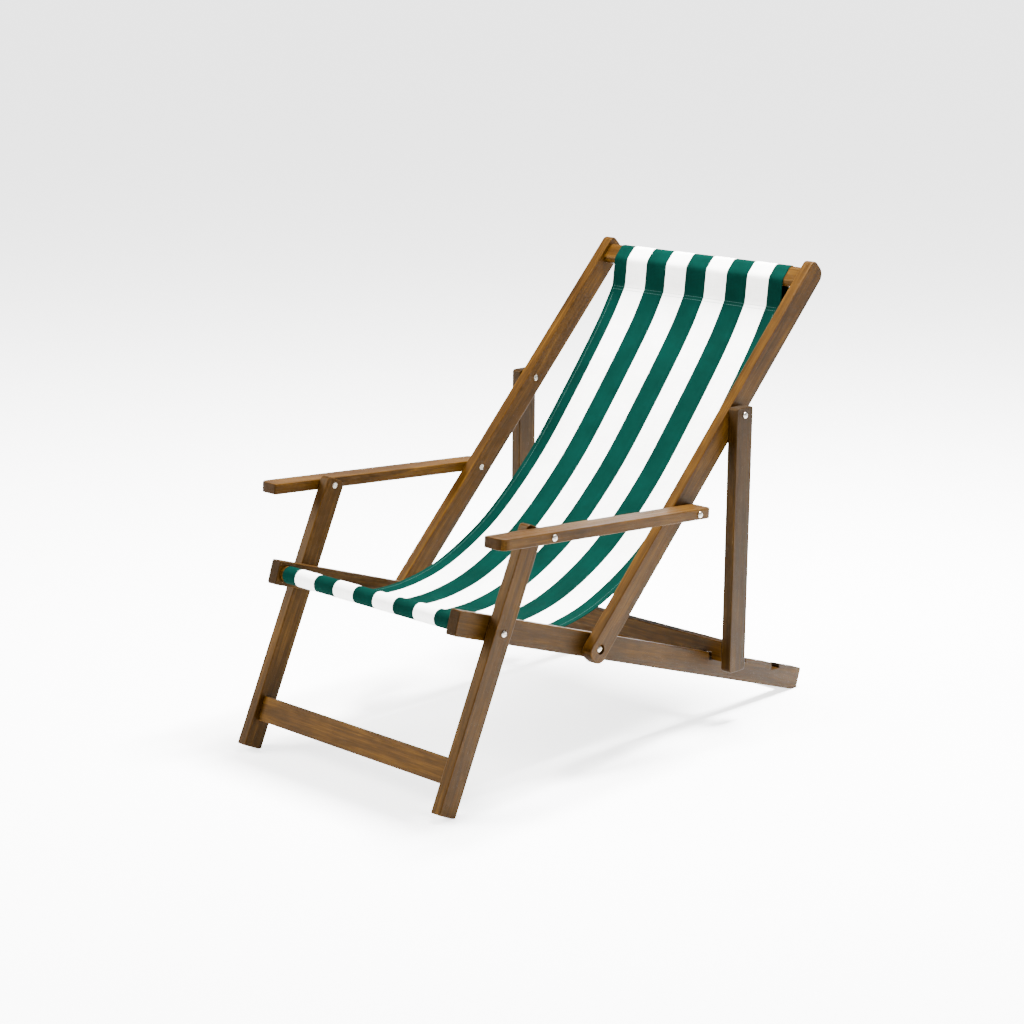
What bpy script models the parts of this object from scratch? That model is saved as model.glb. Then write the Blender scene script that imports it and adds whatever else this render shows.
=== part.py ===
"""Folding deck chair with arms, a striped canvas sling and a rear prop frame.

The frame has x across the chair (the sitter's left is +x), y from front to
back and z up.  The origin is on the floor, under the middle of the chair's
outline.  Side-view points are (y, z) pairs.  Every hinge line runs along x.
"""
import math

import bmesh
import bpy
from mathutils import Matrix, Vector

COLLECTION = "folding_deck_chair"
CUTTERS = "cutters"

# Slopes of the members in the side view, from the +y direction.
SEAT_SLOPE = math.radians(-18.5)
BACK_SLOPE = math.radians(45.6)
LEG_SLOPE = math.radians(65.1)
PROP_SLOPE = math.radians(89.3)

# Distances between the pivots B (leg and seat rail), C (leg and arm),
# F (back and seat rail), G (arm and back) and H (prop and back).
FOOT_Y = -0.48075
FOOT_TO_B = 0.328
B_TO_C = 0.183
B_TO_F = 0.266
F_TO_G = 0.310
F_TO_H = 0.534

# Timber sections: depth is seen from the side, thickness across the chair.
LEG_DEPTH = 0.043
RAIL_DEPTH = 0.046
BACK_DEPTH = 0.045
STRUT_DEPTH = 0.0465
TIMBER = 0.0215
SEAT_TIMBER = 0.0235
ARM_WIDTH = 0.046
ARM_THICKNESS = 0.020
EDGE_ROUND = 0.0016

# Faces across the chair, half widths from the middle plane.
LEG_OUTER = 0.270
PIVOT_GAP = 0.0015
LEG_INNER = LEG_OUTER - TIMBER
SEAT_OUTER = LEG_INNER - PIVOT_GAP
SEAT_INNER = SEAT_OUTER - SEAT_TIMBER
ARM_INNER = LEG_OUTER + PIVOT_GAP
ARM_OUTER = ARM_INNER + ARM_WIDTH
STRUT_OUTER = ARM_INNER + TIMBER

# Member ends, measured along each member from its first pivot.
LEG_TOP = 0.195
FOOT_TRIM = 0.003
RAIL_FRONT = -0.095
RAIL_REAR = 0.923
RAIL_RISE = 0.003
BACK_BOTTOM = -0.026
BACK_TOP = 0.888
ARM_FRONT = 0.128
ARM_REAR = 0.033
STRUT_TOP = 0.015
STRUT_BOTTOM = 0.503

# Cross members.
DOWEL_RADIUS = 0.015
DOWEL_SOCKET = 0.012
DOWEL_FROM_B = -0.0725
TOP_BAR_FROM_F = 0.854
TOP_BAR_FORWARD = 0.004
TOP_BAR_DEPTH = 0.044
TOP_BAR_THICKNESS = 0.0205
TOP_BAR_NOSE_STEPS = 12
STRETCHER_HEIGHT = 0.047
STRETCHER_THICKNESS = 0.020
STRETCHER_FROM_B = -0.2555
STRETCHER_FORWARD = 0.001
REAR_RAIL_FROM_B = 0.890
REAR_RAIL_HEIGHT = 0.030
REAR_RAIL_THICKNESS = 0.018
CROSSBAR_HEIGHT = 0.040
CROSSBAR_THICKNESS = 0.018
TENON_LENGTH = 0.012
TENON_INSET = 0.004

# Level-floored notches in the seat rails: y of each rear wall, from the feet.
NOTCH_WALLS = (0.734, 0.822, 0.930)
NOTCH_LENGTH = 0.025
NOTCH_DEPTH = 0.008
CROSSBAR_LIFT = 0.0005
HOUSING_CLEARANCE = 0.002
HOUSING_SIDE = 0.001

# Pivot hardware.
SHANK_RADIUS = 0.003
HOLE_RADIUS = 0.0034
HEAD_RADIUS = 0.0062
HEAD_HEIGHT = 0.0035
HEAD_RIM = 0.0009
SLOT_WIDTH = 0.0013
SLOT_DEPTH = 0.0012
HEAD_SINK = 0.0042
HEAD_POCKET = 0.0028
NUT_RADIUS = 0.0060
NUT_SEAT = 0.0036
NUT_PROUD = 0.0007
NUT_BORE_DEPTH = 0.0024
SEAT_PLAY = 0.0005
WASHER_RADIUS = 0.0085
WASHER_THICKNESS = 0.0008
ROUND_STEPS = 20

# Canvas sling: half width, thickness, and the side-view line of its middle
# surface from the front dowel to the stitch line under the top bar.
CANVAS_HALF = 0.2175
CANVAS_THICKNESS = 0.0012
SLING_LINE = (
    (0.120, 0.3140), (0.190, 0.2790), (0.245, 0.2620), (0.300, 0.2590),
    (0.350, 0.2635), (0.410, 0.2765), (0.480, 0.3045), (0.560, 0.3500),
    (0.640, 0.4140), (0.710, 0.4815), (0.780, 0.5625), (0.850, 0.6480),
    (0.905, 0.7200), (0.940, 0.7760),
)
SLING_SPLIT = 0.371
SPLIT_GAP = 0.0006
SLING_STEPS = 3
WRAP_STEPS = 20
LOWER_WRAP_STEPS = 5

GAP = 0.0003
ARC_STEPS = 5
CUT_MARGIN = 0.004
SHARP_ANGLE = math.radians(40)

WOOD = (0.205, 0.098, 0.042, 1.0)
WOOD_DARK = (0.150, 0.070, 0.031, 1.0)
STEEL = (0.72, 0.70, 0.66, 1.0)
CANVAS = (0.012, 0.170, 0.125, 1.0)


def along(slope):
    return Vector((math.cos(slope), math.sin(slope)))


def across(slope):
    return Vector((-math.sin(slope), math.cos(slope)))


def offset(start, slope, forward, up=0.0):
    """A side-view point, so far along a slope and so far across it."""
    return start + along(slope) * forward + across(slope) * up


FOOT = Vector((FOOT_Y, 0.0))
POINT_B = offset(FOOT, LEG_SLOPE, FOOT_TO_B, LEG_DEPTH / 2)
POINT_C = offset(POINT_B, LEG_SLOPE, B_TO_C)
POINT_F = offset(POINT_B, SEAT_SLOPE, B_TO_F)
POINT_G = offset(POINT_F, BACK_SLOPE, F_TO_G)
POINT_H = offset(POINT_F, BACK_SLOPE, F_TO_H)
POINT_D = offset(POINT_B, SEAT_SLOPE, DOWEL_FROM_B, RAIL_RISE)
POINT_K = offset(POINT_F, BACK_SLOPE, TOP_BAR_FROM_F, TOP_BAR_FORWARD)
ARM_LINE = POINT_G - POINT_C
ARM_SLOPE = math.atan2(ARM_LINE.y, ARM_LINE.x)


def clear_scene():
    for obj in list(bpy.data.objects):
        bpy.data.objects.remove(obj, do_unlink=True)


def new_collection(name):
    collection = bpy.data.collections.new(name)
    bpy.context.scene.collection.children.link(collection)
    return collection


def new_material(name, color, roughness, metallic=0.0):
    material = bpy.data.materials.new(name)
    material.use_nodes = True
    shader = material.node_tree.nodes["Principled BSDF"]
    shader.inputs["Base Color"].default_value = color
    shader.inputs["Roughness"].default_value = roughness
    shader.inputs["Metallic"].default_value = metallic
    return material


def side_matrix(point, slope, x=0.0):
    """Local x runs along the slope, local y across it and local z along +x."""
    forward = along(slope)
    upward = across(slope)
    rotation = Matrix(
        (
            (0.0, 0.0, 1.0),
            (forward.x, upward.x, 0.0),
            (forward.y, upward.y, 0.0),
        )
    ).to_4x4()
    return Matrix.Translation((x, point.x, point.y)) @ rotation


def lateral_matrix(point, x, side):
    """Local z points outwards from the chair, along side times +x."""
    rotation = Matrix.Rotation(side * math.pi / 2, 4, "Y")
    return Matrix.Translation((x, point.x, point.y)) @ rotation


def rounded_outline(corners):
    """Corners are (x, y, radius), counter-clockwise; each becomes an arc."""
    points = []
    count = len(corners)
    for index, (x, y, radius) in enumerate(corners):
        here = Vector((x, y))
        before = (Vector(corners[index - 1][:2]) - here).normalized()
        after = (Vector(corners[(index + 1) % count][:2]) - here).normalized()
        if radius == 0.0:
            points.append(here)
            continue
        half_angle = before.angle(after) / 2
        reach = radius / math.tan(half_angle)
        centre = here + (before + after).normalized() * radius / math.sin(half_angle)
        first = here + before * reach - centre
        last = here + after * reach - centre
        turn = first.angle_signed(last)
        for step in range(ARC_STEPS + 1):
            arm = first.copy()
            arm.rotate(Matrix.Rotation(-turn * step / ARC_STEPS, 2))
            points.append(centre + arm)
    return points


def bull_nosed_outline(depth, thickness):
    """A board's section with both its edges fully rounded."""
    radius = thickness / 2
    reach = depth / 2 - radius
    points = []
    for end in (1, -1):
        for step in range(TOP_BAR_NOSE_STEPS + 1):
            angle = math.pi * (step / TOP_BAR_NOSE_STEPS - 0.5)
            forward = end * (reach + radius * math.cos(angle))
            points.append(Vector((forward, end * radius * math.sin(angle))))
    return points


def outline_mesh(name, points, thickness, edge):
    """A flat outline given a thickness, with its edges rounded over."""
    curve = bpy.data.curves.new(name, "CURVE")
    curve.dimensions = "2D"
    curve.fill_mode = "BOTH"
    curve.extrude = thickness / 2 - edge
    curve.bevel_depth = edge
    curve.bevel_resolution = 1
    curve.offset = -edge
    spline = curve.splines.new("POLY")
    spline.points.add(len(points) - 1)
    for spline_point, point in zip(spline.points, points):
        spline_point.co = (point.x, point.y, 0.0, 1.0)
    spline.use_cyclic_u = True
    holder = bpy.data.objects.new(name, curve)
    bpy.context.scene.collection.objects.link(holder)
    graph = bpy.context.evaluated_depsgraph_get()
    mesh = bpy.data.meshes.new_from_object(holder.evaluated_get(graph))
    bpy.data.objects.remove(holder, do_unlink=True)
    weld(mesh)
    return mesh


def weld(mesh):
    shape = bmesh.new()
    shape.from_mesh(mesh)
    bmesh.ops.remove_doubles(shape, verts=shape.verts, dist=0.00002)
    bmesh.ops.recalc_face_normals(shape, faces=shape.faces)
    shape.to_mesh(mesh)
    shape.free()


def box_mesh(name, size):
    shape = bmesh.new()
    bmesh.ops.create_cube(shape, size=1.0)
    bmesh.ops.scale(shape, vec=size, verts=shape.verts)
    mesh = bpy.data.meshes.new(name)
    shape.to_mesh(mesh)
    shape.free()
    return mesh


def cylinder_mesh(name, radius, length, segments):
    shape = bmesh.new()
    bmesh.ops.create_cone(
        shape,
        cap_ends=True,
        segments=segments,
        radius1=radius,
        radius2=radius,
        depth=length,
    )
    mesh = bpy.data.meshes.new(name)
    shape.to_mesh(mesh)
    shape.free()
    return mesh


def turned_mesh(name, profile):
    """An open profile of (radius, height), from top to bottom, for a Screw."""
    mesh = bpy.data.meshes.new(name)
    points = [(radius, 0.0, height) for radius, height in profile]
    links = [(index, index + 1) for index in range(len(points) - 1)]
    mesh.from_pydata(points, links, [])
    return mesh


def turn(obj):
    screw = obj.modifiers.new("turned", "SCREW")
    screw.axis = "Z"
    screw.steps = ROUND_STEPS
    screw.render_steps = ROUND_STEPS
    screw.use_merge_vertices = True
    screw.merge_threshold = 0.00001
    screw.use_smooth_shade = True


class Chair:
    """Holds the collections, the pivots and the objects made so far."""

    def __init__(self):
        self.parts = new_collection(COLLECTION)
        self.cutters = new_collection(CUTTERS)
        self.pivots = {}

    def pivot(self, name, point):
        empty = bpy.data.objects.new(name, None)
        empty.empty_display_size = 0.05
        empty.matrix_world = Matrix.Translation((0.0, point.x, point.y))
        self.parts.objects.link(empty)
        self.pivots[name] = empty

    def add(self, name, mesh, matrix, material, pivot=None):
        obj = bpy.data.objects.new(name, mesh)
        mesh.materials.clear()
        mesh.materials.append(material)
        self.parts.objects.link(obj)
        obj.matrix_world = matrix
        if pivot:
            empty = self.pivots[pivot]
            obj.parent = empty
            obj.matrix_parent_inverse = Matrix.Translation(-empty.location)
        return obj

    def cut(self, obj, mesh, matrix):
        cutter = bpy.data.objects.new(mesh.name, mesh)
        self.cutters.objects.link(cutter)
        cutter.matrix_world = matrix
        cutter.hide_render = True
        cutter.display_type = "WIRE"
        boolean = obj.modifiers.new("cut", "BOOLEAN")
        boolean.operation = "DIFFERENCE"
        boolean.solver = "EXACT"
        boolean.object = cutter
        return cutter

    def bore(self, obj, point, x, length):
        """A pivot hole along x."""
        mesh = cylinder_mesh("bore", HOLE_RADIUS, length + CUT_MARGIN, ROUND_STEPS)
        self.cut(obj, mesh, lateral_matrix(point, x, 1))

    def counterbore(self, obj, point, face, radius, depth, toward):
        """A round recess in a member's face, cut from face towards toward * x."""
        reach = depth + CUT_MARGIN
        x = face + toward * (depth - CUT_MARGIN) / 2
        mesh = cylinder_mesh("recess", radius + SEAT_PLAY, reach, 2 * ROUND_STEPS)
        self.cut(obj, mesh, lateral_matrix(point, x, 1))

    def socket(self, obj, point, inner_face, side):
        """A blind round seat for the dowel's end, in a rail's inner face."""
        reach = DOWEL_SOCKET + CUT_MARGIN
        x = side * (inner_face - CUT_MARGIN + reach / 2)
        mesh = cylinder_mesh("socket", DOWEL_RADIUS + GAP, reach, 2 * ROUND_STEPS)
        self.cut(obj, mesh, lateral_matrix(point, x, 1))

    def mortise(self, obj, matrix, size, inner_face, side):
        """A blind slot for a tenon, in a member's inner face."""
        reach = TENON_LENGTH + GAP + CUT_MARGIN
        x = side * (inner_face - CUT_MARGIN + reach / 2)
        mesh = box_mesh("mortise", (size[0] + 2 * GAP, size[1] + 2 * GAP, reach))
        self.cut(obj, mesh, Matrix.Translation((x, 0.0, 0.0)) @ matrix)

    def trim_at_floor(self, obj):
        mesh = box_mesh("floor_cut", (2.0, 3.0, 0.2))
        self.cut(obj, mesh, Matrix.Translation((0.0, 0.0, -0.1)))


def from_feet(y):
    return y + FOOT_Y


def rail_top(y):
    """Height of a seat rail's top edge at a place along the chair."""
    middle = POINT_B.y + (y - POINT_B.x) * math.tan(SEAT_SLOPE)
    return middle + (RAIL_RISE + RAIL_DEPTH / 2) / math.cos(SEAT_SLOPE)


def notch_floor(wall_y):
    return rail_top(wall_y) - NOTCH_DEPTH


def cut_notch(chair, rail, wall_y, middle):
    """A notch with a level floor and upright walls, open at the top."""
    height = 4 * NOTCH_DEPTH
    notch = box_mesh("notch", (2 * SEAT_TIMBER, NOTCH_LENGTH, height))
    place = (middle, wall_y - NOTCH_LENGTH / 2, notch_floor(wall_y) + height / 2)
    chair.cut(rail, notch, Matrix.Translation(place))


def crossbar_centre():
    """The crossbar stands in the first notch, against its rear wall."""
    wall_y = from_feet(NOTCH_WALLS[0])
    return Vector((
        wall_y - CROSSBAR_LIFT - CROSSBAR_THICKNESS / 2,
        notch_floor(wall_y) + CROSSBAR_LIFT + CROSSBAR_HEIGHT / 2,
    ))


def cut_housings(chair, crossbar):
    """The crossbar's underside is relieved where it passes over the rails."""
    centre = crossbar_centre()
    bottom = centre.y - CROSSBAR_HEIGHT / 2
    top = rail_top(centre.x - CROSSBAR_THICKNESS / 2) + HOUSING_CLEARANCE
    height = 2 * (top - bottom)
    width = SEAT_TIMBER + 2 * HOUSING_SIDE
    for side in (-1, 1):
        housing = box_mesh("housing", (width, 2 * CROSSBAR_THICKNESS, height))
        place = (side * (SEAT_INNER + SEAT_OUTER) / 2, centre.x, bottom)
        chair.cut(crossbar, housing, Matrix.Translation(place))


def seat_rail(chair, side, name, wood):
    low = RAIL_RISE - RAIL_DEPTH / 2
    high = RAIL_RISE + RAIL_DEPTH / 2
    corner = 0.004
    outline = rounded_outline((
        (RAIL_FRONT, low, corner),
        (RAIL_REAR, low, 0.0),
        (RAIL_REAR, high, corner),
        (RAIL_FRONT, high, corner),
    ))
    mesh = outline_mesh(name, outline, SEAT_TIMBER, EDGE_ROUND)
    middle = side * (SEAT_INNER + SEAT_OUTER) / 2
    rail = chair.add(name, mesh, side_matrix(POINT_B, SEAT_SLOPE, middle), wood)
    for wall_y in NOTCH_WALLS:
        cut_notch(chair, rail, from_feet(wall_y), middle)
    for point in (POINT_B, POINT_F):
        chair.bore(rail, point, middle, SEAT_TIMBER)
        nut_seat(chair, rail, point, side, SEAT_INNER)
    chair.socket(rail, POINT_D, SEAT_INNER, side)
    rear_matrix = side_matrix(rear_rail_centre(), SEAT_SLOPE)
    chair.mortise(rail, rear_matrix, rear_tenon(), SEAT_INNER, side)
    chair.trim_at_floor(rail)


def rear_rail_centre():
    return offset(POINT_B, SEAT_SLOPE, REAR_RAIL_FROM_B, RAIL_RISE)


def rear_tenon():
    return (REAR_RAIL_THICKNESS - 2 * TENON_INSET, REAR_RAIL_HEIGHT - 2 * TENON_INSET)


def stretcher_tenon():
    return (STRETCHER_HEIGHT - 2 * TENON_INSET, STRETCHER_THICKNESS - 2 * TENON_INSET)


def crossbar_tenon():
    return (CROSSBAR_HEIGHT - 2 * TENON_INSET, CROSSBAR_THICKNESS - 2 * TENON_INSET)


def top_bar_tenon():
    return (TOP_BAR_DEPTH - 2 * TENON_INSET, TOP_BAR_THICKNESS - 2 * TENON_INSET)


def stretcher_centre():
    return offset(POINT_B, LEG_SLOPE, STRETCHER_FROM_B, STRETCHER_FORWARD)


def tenoned_rail(chair, name, matrix, size, tenon, inner_face, wood, pivot=None):
    """A cross rail between two inner faces, with a stub tenon at each end."""
    length = 2 * (inner_face - GAP)
    mesh = box_mesh(name, (size[0], size[1], length))
    rail = chair.add(name, mesh, matrix, wood, pivot)
    bevel = rail.modifiers.new("edges", "BEVEL")
    bevel.width = EDGE_ROUND
    bevel.segments = 2
    add_tenons(chair, rail, matrix, tenon, length)
    return rail


def add_tenons(chair, rail, matrix, tenon, length):
    for end in (-1, 1):
        stub_mesh = box_mesh("tenon", (tenon[0], tenon[1], 2 * TENON_LENGTH))
        shift = Matrix.Translation((0.0, 0.0, end * length / 2))
        stub = chair.cut(rail, stub_mesh, matrix @ shift)
        stub.name = rail.name + "_tenon"
        rail.modifiers[-1].operation = "UNION"


def top_bar(chair, wood):
    """The board between the back rails' tops that the canvas turns over."""
    length = 2 * (LEG_INNER - GAP)
    outline = bull_nosed_outline(TOP_BAR_DEPTH, TOP_BAR_THICKNESS)
    mesh = outline_mesh("top_bar", outline, length, EDGE_ROUND)
    matrix = side_matrix(POINT_K, BACK_SLOPE)
    board = chair.add("top_bar", mesh, matrix, wood, "back_pivot")
    add_tenons(chair, board, matrix, top_bar_tenon(), length)


def nut_seat(chair, member, point, side, inner_face):
    """The recess for a barrel nut, in a member's inner face."""
    chair.counterbore(member, point, side * inner_face, NUT_RADIUS, NUT_SEAT, side)


def front_dowel(chair, wood):
    length = 2 * (SEAT_INNER + DOWEL_SOCKET - GAP)
    mesh = cylinder_mesh("front_dowel", DOWEL_RADIUS, length, 2 * ROUND_STEPS)
    mesh.shade_smooth()
    mesh.set_sharp_from_angle(angle=SHARP_ANGLE)
    chair.add("front_dowel", mesh, lateral_matrix(POINT_D, 0.0, 1), wood)


def leg(chair, side, name, wood):
    half = LEG_DEPTH / 2
    bottom = -FOOT_TO_B - FOOT_TRIM
    outline = rounded_outline((
        (bottom, -half, 0.0),
        (LEG_TOP, -half, 0.010),
        (LEG_TOP, half, 0.008),
        (bottom, half, 0.002),
    ))
    mesh = outline_mesh(name, outline, TIMBER, EDGE_ROUND)
    middle = side * (LEG_INNER + LEG_OUTER) / 2
    matrix = side_matrix(POINT_B, LEG_SLOPE, middle)
    post = chair.add(name, mesh, matrix, wood, "leg_pivot")
    chair.bore(post, POINT_B, middle, TIMBER)
    chair.bore(post, POINT_C, middle, TIMBER)
    nut_seat(chair, post, POINT_C, side, LEG_INNER)
    stretcher_matrix = side_matrix(stretcher_centre(), LEG_SLOPE)
    chair.mortise(post, stretcher_matrix, stretcher_tenon(), LEG_INNER, side)
    chair.trim_at_floor(post)


def back_rail(chair, side, name, wood):
    half = BACK_DEPTH / 2
    outline = rounded_outline((
        (BACK_BOTTOM, -half, 0.018),
        (BACK_TOP, -half, 0.018),
        (BACK_TOP, half, 0.012),
        (BACK_BOTTOM, half, 0.018),
    ))
    mesh = outline_mesh(name, outline, TIMBER, EDGE_ROUND)
    middle = side * (LEG_INNER + LEG_OUTER) / 2
    matrix = side_matrix(POINT_F, BACK_SLOPE, middle)
    rail = chair.add(name, mesh, matrix, wood, "back_pivot")
    for point in (POINT_F, POINT_G, POINT_H):
        chair.bore(rail, point, middle, TIMBER)
    for point in (POINT_G, POINT_H):
        nut_seat(chair, rail, point, side, LEG_INNER)
    outer = side * LEG_OUTER
    pocket = HEAD_RADIUS + HEAD_POCKET
    chair.counterbore(rail, POINT_F, outer, pocket, HEAD_SINK, -side)
    top_matrix = side_matrix(POINT_K, BACK_SLOPE)
    chair.mortise(rail, top_matrix, top_bar_tenon(), LEG_INNER, side)


def arm(chair, side, name, wood):
    front = -ARM_LINE.length - ARM_FRONT
    outline = rounded_outline((
        (front, 0.0, 0.004),
        (ARM_REAR, 0.0, 0.007),
        (ARM_REAR, ARM_WIDTH, 0.010),
        (front, ARM_WIDTH, 0.016),
    ))
    mesh = outline_mesh(name, outline, ARM_THICKNESS, EDGE_ROUND)
    forward = along(ARM_SLOPE)
    upward = across(ARM_SLOPE)
    rotation = Matrix(
        (
            (0.0, side, 0.0),
            (forward.x, 0.0, -side * upward.x),
            (forward.y, 0.0, -side * upward.y),
        )
    ).to_4x4()
    matrix = Matrix.Translation((side * ARM_INNER, POINT_G.x, POINT_G.y)) @ rotation
    rest = chair.add(name, mesh, matrix, wood, "arm_pivot")
    middle = side * (ARM_INNER + ARM_OUTER) / 2
    chair.bore(rest, POINT_G, middle, ARM_WIDTH)
    chair.bore(rest, POINT_C, middle, ARM_WIDTH)


def strut(chair, side, name, wood):
    half = STRUT_DEPTH / 2
    outline = rounded_outline((
        (-STRUT_BOTTOM, -half, 0.008),
        (STRUT_TOP, -half, 0.006),
        (STRUT_TOP, half, 0.006),
        (-STRUT_BOTTOM, half, 0.008),
    ))
    mesh = outline_mesh(name, outline, TIMBER, EDGE_ROUND)
    middle = side * (ARM_INNER + STRUT_OUTER) / 2
    matrix = side_matrix(POINT_H, PROP_SLOPE, middle)
    post = chair.add(name, mesh, matrix, wood, "prop_pivot")
    chair.bore(post, POINT_H, middle, TIMBER)
    crossbar_matrix = side_matrix(crossbar_centre(), math.pi / 2)
    chair.mortise(post, crossbar_matrix, crossbar_tenon(), ARM_INNER, side)


def bolt(chair, name, point, side, seat_x, end_x, steel, pivot):
    """A slotted round-head bolt: head on seat_x, shank running in to end_x."""
    shank = seat_x - end_x
    profile = [(0.0, HEAD_HEIGHT)]
    for step in range(1, ARC_STEPS + 1):
        angle = math.pi / 2 * step / ARC_STEPS
        rise = HEAD_RIM + (HEAD_HEIGHT - HEAD_RIM) * math.cos(angle)
        profile.append((HEAD_RADIUS * math.sin(angle), rise))
    profile.append((HEAD_RADIUS, GAP))
    profile.append((SHANK_RADIUS, GAP))
    profile.append((SHANK_RADIUS, -shank))
    profile.append((0.0, -shank))
    mesh = turned_mesh(name, profile)
    matrix = lateral_matrix(point, side * seat_x, side)
    screw = chair.add(name, mesh, matrix, steel, pivot)
    turn(screw)
    slot = box_mesh("slot", (SLOT_WIDTH, 4 * HEAD_RADIUS, 2 * SLOT_DEPTH))
    chair.cut(screw, slot, matrix @ Matrix.Translation((0.0, 0.0, HEAD_HEIGHT)))


def barrel_nut(chair, name, point, side, face_x, steel, pivot, stub=0.0):
    """A slotted nut let into an inner face, standing slightly proud of it.

    With a stub it closes the outer half of a divided pivot bolt.
    """
    matrix = lateral_matrix(point, side * face_x, -side)
    floor = GAP - NUT_SEAT
    profile = [(0.0, NUT_PROUD), (0.8 * NUT_RADIUS, NUT_PROUD), (NUT_RADIUS, 0.0)]
    profile.append((NUT_RADIUS, floor))
    if stub:
        profile.append((SHANK_RADIUS, floor))
        profile.append((SHANK_RADIUS, -stub))
        profile.append((0.0, -stub))
    else:
        profile.append((0.0, floor))
    nut = chair.add(name, turned_mesh(name, profile), matrix, steel, pivot)
    turn(nut)
    slot = box_mesh("slot", (SLOT_WIDTH, 4 * NUT_RADIUS, 2 * SLOT_DEPTH))
    chair.cut(nut, slot, matrix @ Matrix.Translation((0.0, 0.0, NUT_PROUD)))
    if stub == 0.0:
        bore = cylinder_mesh("nut_bore", HOLE_RADIUS, 2 * NUT_BORE_DEPTH, ROUND_STEPS)
        chair.cut(nut, bore, matrix @ Matrix.Translation((0.0, 0.0, floor)))


def washer(chair, name, point, side, inner_x, steel, pivot):
    """A flat ring in the gap between two members."""
    ring = cylinder_mesh(name, WASHER_RADIUS, WASHER_THICKNESS, ROUND_STEPS)
    x = side * (inner_x + PIVOT_GAP / 2)
    obj = chair.add(name, ring, lateral_matrix(point, x, side), steel, pivot)
    hole = cylinder_mesh("washer_hole", HOLE_RADIUS, 4 * WASHER_THICKNESS, ROUND_STEPS)
    chair.cut(obj, hole, lateral_matrix(point, x, side))


def smooth_line(points, steps):
    """A Catmull-Rom curve through the points."""
    line = []
    last = len(points) - 1
    for index in range(last):
        before = points[max(index - 1, 0)]
        start = points[index]
        end = points[index + 1]
        after = points[min(index + 2, last)]
        for step in range(steps):
            t = step / steps
            line.append(
                0.5 * (
                    2 * start
                    + (end - before) * t
                    + (2 * before - 5 * start + 4 * end - after) * t ** 2
                    + (3 * start - before - 3 * end + after) * t ** 3
                )
            )
    line.append(points[last])
    return line


def arc(centre, radius, start, end, steps):
    """Points round a bar, from a start angle to an end angle in degrees.

    The straight runs between the points touch the circle of this radius.
    """
    turn_step = math.radians(end - start) / steps
    reach = radius / math.cos(turn_step / 2)
    points = []
    for step in range(steps + 1):
        angle = math.radians(start) + turn_step * step
        points.append(centre + Vector((math.cos(angle), math.sin(angle))) * reach)
    return points


def point_at(line, y):
    """The point where a line running towards +y reaches y."""
    for start, end in zip(line, line[1:]):
        if start.x < y <= end.x:
            return start.lerp(end, (y - start.x) / (end.x - start.x))
    return line[-1]


def sling_control():
    return [Vector((from_feet(y), z)) for y, z in SLING_LINE]


def seat_line():
    """Round the front dowel from behind, then down the sling to the split."""
    radius = DOWEL_RADIUS + GAP + CANVAS_THICKNESS / 2
    wrap = arc(POINT_D, radius, 340.0, 62.5, WRAP_STEPS)
    control = [wrap[-1]] + sling_control()
    line = smooth_line(control, SLING_STEPS)
    limit = from_feet(SLING_SPLIT)
    seat = [point for point in line if point.x < limit]
    return wrap[:-1] + seat + [point_at(line, limit)]


def back_line():
    """From the split up the sling, over the top bar and down behind it."""
    radius = TOP_BAR_THICKNESS / 2 + GAP + CANVAS_THICKNESS / 2
    reach = (TOP_BAR_DEPTH - TOP_BAR_THICKNESS) / 2
    lower = offset(POINT_K, BACK_SLOPE, -reach)
    upper = offset(POINT_K, BACK_SLOPE, reach)
    flat = math.degrees(BACK_SLOPE) + 90.0
    wrap = arc(lower, radius, 178.0, flat, LOWER_WRAP_STEPS)
    wrap += arc(upper, radius, flat, -31.0, WRAP_STEPS)
    line = smooth_line(sling_control(), SLING_STEPS)
    limit = from_feet(SLING_SPLIT) + SPLIT_GAP
    climb = [point_at(line, limit)] + [point for point in line if point.x > limit]
    tail = offset(climb[-1], BACK_SLOPE, 0.006, -0.004)
    return climb + wrap + [tail]


def canvas(chair, name, line, cloth, pivot=None):
    """A sheet across the chair, thickened about its middle surface."""
    points = []
    for point in line:
        points.append((-CANVAS_HALF, point.x, point.y))
        points.append((CANVAS_HALF, point.x, point.y))
    faces = [(2 * i, 2 * i + 1, 2 * i + 3, 2 * i + 2) for i in range(len(line) - 1)]
    mesh = bpy.data.meshes.new(name)
    mesh.from_pydata(points, [], faces)
    mesh.shade_smooth()
    sheet = chair.add(name, mesh, Matrix.Identity(4), cloth, pivot)
    solidify = sheet.modifiers.new("thickness", "SOLIDIFY")
    solidify.thickness = CANVAS_THICKNESS
    solidify.offset = 0.0
    solidify.use_even_offset = True


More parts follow.
